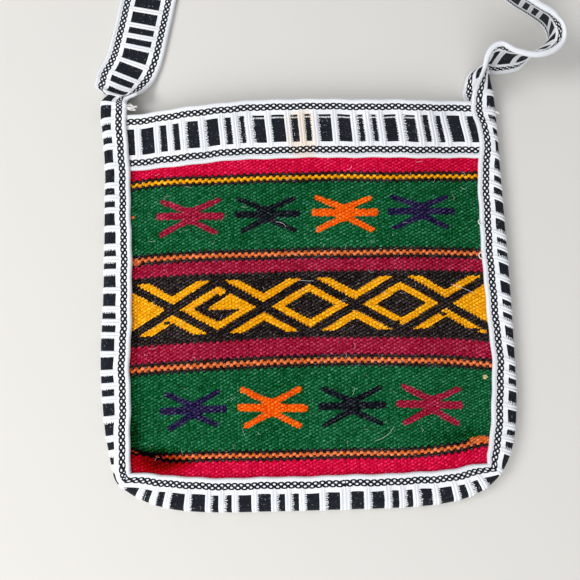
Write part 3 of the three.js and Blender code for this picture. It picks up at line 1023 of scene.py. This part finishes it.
def loop_travel(stations, free):
    """Direction of travel in plan. A doubled stretch of free strap stays square to the bag."""
    around = np.vstack([stations[-1:, :2], stations[:, :2], stations[:1, :2]])
    travel = directions(around)[1:-1]
    left = stations[:, 0] < 0
    heading = np.radians(along(LEFT_CORNER_WAY, 1, stations[:, 1]))
    corner = np.column_stack([np.cos(heading), np.sin(heading)])
    end = LEFT_CORNER_WAY[-1][0]
    held = free * left * (1 - ease(stations[:, 1], end - JOIN_BLEND, end))
    square = np.column_stack([np.zeros(len(travel)), np.sign(travel[:, 1])])
    pull = free * ~left * np.maximum(stations[:, 3], 0) / DOUBLED
    held = held[:, None]
    pull = pull[:, None]
    return travel * (1 - pull - held) + square * pull + corner * held


def run_of_band(name, rows, travel, runs):
    """A stretch of the band. Each run is a table of arc and repeats; a jump between runs is a join."""
    arc = lengths_along(rows[:, :2])
    at = []
    repeats = []
    for table in runs:
        keys, counts = np.array(table, float).T
        steps = repeat_steps(counts[0], counts[-1])
        at.append(np.interp(steps, counts, keys) * arc[-1] / runs[-1][-1][0])
        repeats.append(steps)
    at = np.concatenate(at)
    way = unit(resampled(at, arc, travel))
    x, y, *shape, slope = resampled(at, arc, rows).T
    return ribbon(name, np.column_stack([x, y]), way, shape, slope, np.concatenate(repeats)), arc[-1]


def mouth_band(name, height, lift):
    """A band along a mouth edge, lifted off a face of the bag."""
    ends = [(MOUTH_PHASE_X - x) / REPEAT for x in (MOUTH_BAND_HALF, -MOUTH_BAND_HALF)]
    repeats = repeat_steps(*ends)
    x = MOUTH_PHASE_X - repeats * REPEAT
    low = along(MOUTH, 2, x) + wobble(x)
    top = along(MOUTH, 1, x) + wobble(x + TOP_AHEAD)
    y = low[:, None] + (top - low)[:, None] * SHARES_ACROSS
    slant = 1 - 2 * ease(SHARES_ACROSS, *SLANT_SHARES)
    x_grid = x[:, None] + along(MOUTH, 3, x)[:, None] * slant
    across = np.repeat(SHARES_ACROSS[None] * BAND_WIDTH, len(x), axis=0)
    lifts, groove = band_relief(across, repeats)
    middle = height(x_grid, y) + lift + BAND_THICK / 2
    layers = [np.dstack([x_grid, y, middle + relief]) for relief in lifts]
    return band_mesh(name, layers, across, repeats, groove)


# Loose fibres


def strand(points, radius):
    """Corners and faces of a thin three-sided thread along points."""
    way = np.gradient(points, axis=0)
    aside = unit(np.column_stack([-way[:, 1], way[:, 0], np.zeros(len(way))]))
    up = np.array([0, 0, 1.0])
    turns = np.radians([90, 210, 330])
    ring = [points + radius * (math.cos(a) * aside + math.sin(a) * up) for a in turns]
    corners = np.stack(ring, axis=1).reshape(-1, 3)
    last = len(corners) - 3
    return corners, tube_faces(len(points), 3) + [(2, 1, 0), (last, last + 1, last + 2)]


def fibre_path(x, y, rise, heading, length, bend):
    """Points of a thread that leaves the cloth at a place and lies down on it again."""
    t = np.linspace(0, 1, FIBRE_STEPS + 1)
    turn = np.radians(heading + bend * t)
    step = length / FIBRE_STEPS
    path_x = x + np.concatenate([[0], np.cumsum(np.cos(turn[1:]) * step)])
    path_y = y + np.concatenate([[0], np.cumsum(np.sin(turn[1:]) * step)])
    path_z = front_height(path_x, path_y) + rise + FIBRE_ARCH * np.sin(np.pi * t)
    return np.column_stack([path_x, path_y, path_z])


def loose_fibres(name):
    strands = [(row, THREAD_RADIUS) for row in THREADS]
    strands += [(row, HAIR_RADIUS) for row in HAIRS]
    for _ in range(FIBRE_COUNT):
        x, y, length, heading, bend = [noise.uniform(*ends) for ends in FIBRE_RANGES]
        strands.append(((x, y, BEAD_RISE, heading, length, bend), FIBRE_RADIUS))
    corners = []
    faces = []
    for row, radius in strands:
        made, joined = strand(fibre_path(*row), radius)
        first = sum(map(len, corners))
        corners.append(made)
        faces.extend([tuple(first + i for i in face) for face in joined])
    data = bpy.data.meshes.new(name)
    data.from_pydata((np.vstack(corners) * MM).tolist(), [], faces)
    return add_object(name, data)


# Materials


class Nodes:
    """Short names for making and joining the shader nodes of a material."""

    def __init__(self, name):
        self.material = bpy.data.materials.new(name)
        self.material.use_nodes = True
        self.tree = self.material.node_tree
        self.shader = self.tree.nodes["Principled BSDF"]

    def put(self, socket, value):
        if isinstance(value, bpy.types.NodeSocket):
            self.tree.links.new(value, socket)
        else:
            socket.default_value = value

    def add(self, kind, *values, **settings):
        """A new node with these settings, and its first inputs set in order."""
        node = self.tree.nodes.new(kind)
        for key, value in settings.items():
            setattr(node, key, value)
        for socket, value in zip(node.inputs, values):
            self.put(socket, value)
        return node

    def fill(self, node, **values):
        """A node with its inputs set by name."""
        for key, value in values.items():
            self.put(node.inputs[key], value)
        return node

    def math(self, operation, *values):
        return self.add("ShaderNodeMath", *values, operation=operation).outputs[0]

    def plus(self, a, b):
        return self.math("ADD", a, b)

    def minus(self, a, b):
        return self.math("SUBTRACT", a, b)

    def times(self, a, b):
        return self.math("MULTIPLY", a, b)

    def squares(self, a, b):
        return self.plus(self.times(a, a), self.times(b, b))

    def mix(self, share, low, high):
        node = self.add("ShaderNodeMix", data_type="RGBA")
        return self.fill(node, Factor=share, A=low, B=high).outputs["Result"]

    def attribute(self, name, output="Fac"):
        return self.add("ShaderNodeAttribute", attribute_name=name).outputs[output]

    def place(self):
        return self.add("ShaderNodeTexCoord").outputs["Object"]

    def noise(self, scale, detail):
        node = self.add("ShaderNodeTexNoise")
        return self.fill(node, Vector=self.place(), Scale=scale, Detail=detail).outputs["Fac"]

    def spread(self, value, *ranges):
        """A value carried smoothly from one range to another."""
        node = self.add("ShaderNodeMapRange", value, *ranges, interpolation_type="SMOOTHSTEP")
        return node.outputs[0]

    def step(self, colour, change):
        """A colour made lighter or darker by the same step on the screen in each channel."""
        screen = self.add("ShaderNodeGamma", colour, 1 / SCREEN_GAMMA).outputs[0]
        moved = self.add("ShaderNodeVectorMath", screen, change, operation="ADD").outputs[0]
        kept = self.add("ShaderNodeVectorMath", moved, [DARKEST] * 3, operation="MAXIMUM").outputs[0]
        return self.add("ShaderNodeGamma", kept, SCREEN_GAMMA).outputs[0]

    def bump(self, height, strength, distance):
        node = self.add("ShaderNodeBump")
        self.fill(node, Strength=strength, Distance=distance, Height=height)
        self.fill(self.shader, Normal=node.outputs["Normal"])

    def surface(self, colour, roughness, specular=0.5, sheen=0):
        """The material, with the colour and shine of its surface set."""
        shine = {"Specular IOR Level": specular, "Sheen Weight": sheen}
        self.fill(self.shader, **{"Base Color": colour}, Roughness=roughness, **shine)
        return self.material


def wool_material():
    """Dyed wool: a colour for each bead, with fibres, slight fading and a soft sheen. The lift layer adds
    painted shade in the valleys between beads and in the front's hollows, and a painted highlight on the
    bead tops.
    """
    n = Nodes("panel_wool")
    change = n.math("MULTIPLY_ADD", n.attribute("lift"), *LIFT_PAINTED_SHADE)
    for scale, detail, *tones in WOOL_TONES:
        change = n.plus(change, n.spread(n.noise(scale, detail), *tones))
    n.bump(n.noise(*WOOL_FIBRE), *WOOL_BUMP)
    return n.surface(n.step(n.attribute("yarn", "Color"), change), *WOOL_SHINE)


def band_material():
    """White cotton with navy-black bars and two chain lines, placed by the band's own length, with painted
    shade along the selvedge ropes and in the cords' grooves.
    """
    n = Nodes("band_cotton")
    along_band = n.add("ShaderNodeUVMap", uv_map="band").outputs["UV"]
    split = n.add("ShaderNodeSeparateXYZ", along_band).outputs
    across = n.times(split["X"], BAND_WIDTH)
    repeats = split["Y"]
    from_middle = n.math("ABSOLUTE", n.minus(across, BAND_WIDTH / 2))
    from_edge = n.minus(BAND_WIDTH / 2, from_middle)

    thread = n.math("FLOOR", n.math("DIVIDE", across, THREAD_PITCH))
    cell = n.math("FLOOR", n.times(repeats, FRAY_CELLS))
    pair = n.add("ShaderNodeCombineXYZ", thread, cell).outputs[0]
    chance = n.add("ShaderNodeTexWhiteNoise", pair, noise_dimensions="2D").outputs["Value"]
    frays = n.fill(n.add("ShaderNodeTexWhiteNoise", noise_dimensions="1D"), W=cell)
    sides = n.add("ShaderNodeSeparateColor", frays.outputs["Color"]).outputs
    every_other = n.math("MODULO", thread, 2)
    ragged = n.plus(n.times(chance, FRAY_CHANCE), n.times(every_other, FRAY_OTHER))
    for calm in FRAY_CALM:
        ragged = n.times(ragged, n.spread(repeats, *calm))
    before = n.times(ragged, n.spread(sides["Red"], *FRAY_BEFORE))
    after = n.times(ragged, n.spread(sides["Green"], *FRAY_AFTER))
    after = n.times(after, n.spread(repeats, *FRAY_AFTER_CALM))

    def bars(at):
        ramp = n.add("ShaderNodeValToRGB", n.math("FRACT", at))
        ramp.color_ramp.interpolation = "CONSTANT"
        stops = ramp.color_ramp.elements
        stops[1].position = REPEAT_MARKS[1]
        for mark in REPEAT_MARKS[2:-1]:
            stops.new(mark)
        for k, stop in enumerate(stops):
            shown = 1 - k % 2
            stop.color = (shown, shown, shown, 1)
        return ramp.outputs["Color"]

    bar = n.math("LESS_THAN", from_middle, BAR_SPAN / 2)
    for at in (repeats, n.minus(repeats, after), n.plus(repeats, before)):
        bar = n.math("MINIMUM", bar, bars(at))

    def ovals(offset, middle, long, wide):
        link = n.math("FRACT", n.math("MULTIPLY_ADD", repeats, CHAINS_PER_REPEAT, offset))
        ahead = n.times(n.minus(link, 0.5), REPEAT / CHAINS_PER_REPEAT / long)
        return n.squares(ahead, n.math("DIVIDE", n.minus(from_edge, middle), wide))

    def chain_rows(size):
        upper = ovals(0, CHAIN_MIDDLE - CHAIN_ROW, *size)
        return n.math("MINIMUM", upper, ovals(0.5, CHAIN_MIDDLE + CHAIN_ROW, *size))

    outside = n.math("LESS_THAN", chain_rows(LINK_STRAND), 1)
    chain = n.times(outside, n.math("GREATER_THAN", chain_rows(LINK_HOLE), 1))
    dark = n.math("MAXIMUM", bar, chain)

    fibre = n.noise(*COTTON_FIBRE)
    soil = n.noise(*COTTON_SOIL)
    white = n.mix(n.spread(soil, *SOIL_SHOWN), linear(WHITE), linear(SOILED))
    streak = n.plus(n.spread(fibre, *STREAK_SHOWN), n.times(chance, STREAK_CHANCE))
    black = n.mix(streak, linear(BLACK), linear(WORN_BLACK))
    fleck = n.spread(n.noise(*COTTON_FLECK), *FLECK_SHOWN)
    black = n.mix(fleck, black, linear(FLECK_GREY))

    spot = n.add("ShaderNodeSeparateXYZ", n.place()).outputs
    on_front = n.math("GREATER_THAN", spot["Z"], FRONT_OVER * MM)
    off = []
    for axis, middle, spread in STAIN:
        off.append(n.math("DIVIDE", n.minus(spot[axis], middle * MM), spread * MM))
    away = n.plus(n.squares(*off), n.spread(soil, *STAIN_RAGGED))
    white = n.mix(n.times(n.spread(away, *STAIN_SHOWN), on_front), white, linear(STAINED))
    over = n.times(on_front, n.math("COMPARE", across, *DASH_ROW))
    over = n.times(over, n.math("COMPARE", spot["X"], DASH_MIDDLE * MM, DASH_HALF * MM))
    over = n.times(over, n.math("LESS_THAN", spot["Y"], DASH_BELOW * MM))
    black = n.mix(n.times(over, n.spread(fibre, *DASH_SHOWN)), black, white)
    # Painted shade along the selvedge ropes, and below it in the cords' grooves
    white = n.mix(n.spread(from_edge, *SELVEDGE_SHADE_SHOWN), white, linear(SELVEDGE_PAINTED_SHADE))
    groove = n.times(n.attribute("groove"), GROOVE_SHADE_SHOWN)
    white = n.mix(groove, white, linear(GROOVE_PAINTED_SHADE))

    ribs = n.math("SINE", n.times(repeats, 2 * math.pi * REPEAT / RIB_PITCH))
    n.bump(n.math("MULTIPLY_ADD", ribs, RIB_HEIGHT, fibre), *COTTON_BUMP)
    return n.surface(n.mix(dark, white, black), *COTTON_SHINE)


def fibre_material():
    """Undyed fibre, white in places and cream in others."""
    n = Nodes("loose_fibre")
    tone = n.noise(*FIBRE_TONE)
    return n.surface(n.mix(tone, linear(FIBRE_WHITE), linear(FIBRE_CREAM)), DULL)


def floor_material():
    return Nodes("floor").surface(linear(FLOOR_GREY), DULL)


# Building

wool = wool_material()
cotton = band_material()

front_panel = woven_panel("front_panel_weave", front_height, 1, front_window)
back_panel = woven_panel("back_panel_weave", back_height, -1, back_window)
front_band = mouth_band("front_mouth_band", front_height, GAP)
back_band = mouth_band("back_mouth_band", back_height, -LAYER)

edge_rows = edge_stations()
strap_rows = strap_stations()
edge_count = len(edge_rows)
loop_rows = blend_joins(np.vstack([edge_rows, strap_rows]), (0, edge_count))
loop_free = np.arange(len(loop_rows)) >= edge_count
way = loop_travel(loop_rows, loop_free)
edge_band, edge_length = run_of_band(
    "edge_band", loop_rows[: edge_count + 1], way[: edge_count + 1], [RIGHT_PHASE, LEFT_PHASE]
)
strap_rows = np.vstack([loop_rows[edge_count:], loop_rows[:1]])
strap_way = np.vstack([way[edge_count:], way[:1]])
strap, strap_length = run_of_band("strap", strap_rows, strap_way, [STRAP_PHASE])

fibres = loose_fibres("loose_fibres")
fibres.data.materials.append(fibre_material())
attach(fibres, "root")

for piece, node, slot, material in (
    (front_panel, "front_panel", "panel_wool", wool),
    (back_panel, "back_panel", "panel_wool", wool),
    (front_band, "front_top_band", "band_cotton", cotton),
    (back_band, "back_top_band", "band_cotton", cotton),
    (edge_band, "gusset_band", "band_cotton", cotton),
    (strap, "shoulder_strap", "band_cotton", cotton),
):
    piece.data.materials.append(material)
    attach(piece, "root")
    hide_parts(node)

# Floor, light and camera

floor_mesh = bmesh.new()
bmesh.ops.create_grid(floor_mesh, x_segments=1, y_segments=1, size=FLOOR_SIZE)
floor = finish_mesh("floor", floor_mesh)
floor.location.z = -FLOOR_DROP
floor.data.materials.append(floor_material())


def area_light(name, place, target, size, power):
    light = bpy.data.lights.new(name, "AREA")
    light.shape = "DISK"
    light.size = size
    light.energy = power
    lamp = add_object(name, light)
    lamp.location = place
    way = [b - a for a, b in zip(place, target)]
    flat = math.hypot(way[0], way[1])
    lamp.rotation_euler = (math.atan2(flat, -way[2]), 0, math.atan2(-way[0], way[1]))


area_light("window_light", place=(-1.1, 0.1, 1.15), target=(0, 0.05, 0), size=0.8, power=14.7)
area_light("room_light", place=(-0.35, -1.15, 1.05), target=(0, 0.1, 0), size=1.4, power=16.4)

world = bpy.data.worlds.new("studio")
world.use_nodes = True
sky = world.node_tree.nodes["Background"].inputs
sky["Color"].default_value = SKY
sky["Strength"].default_value = SKY_STRENGTH
bpy.context.scene.world = world
bpy.context.scene.view_settings.view_transform = "Standard"

camera_data = bpy.data.cameras.new("photo_camera")
camera_data.sensor_width = CAMERA_SENSOR
camera_data.lens = CAMERA_LENS
camera = add_object("photo_camera", camera_data)
camera.location = CAMERA_PLACE
camera.rotation_euler = [math.radians(turn) for turn in CAMERA_TURN]
bpy.context.scene.camera = camera
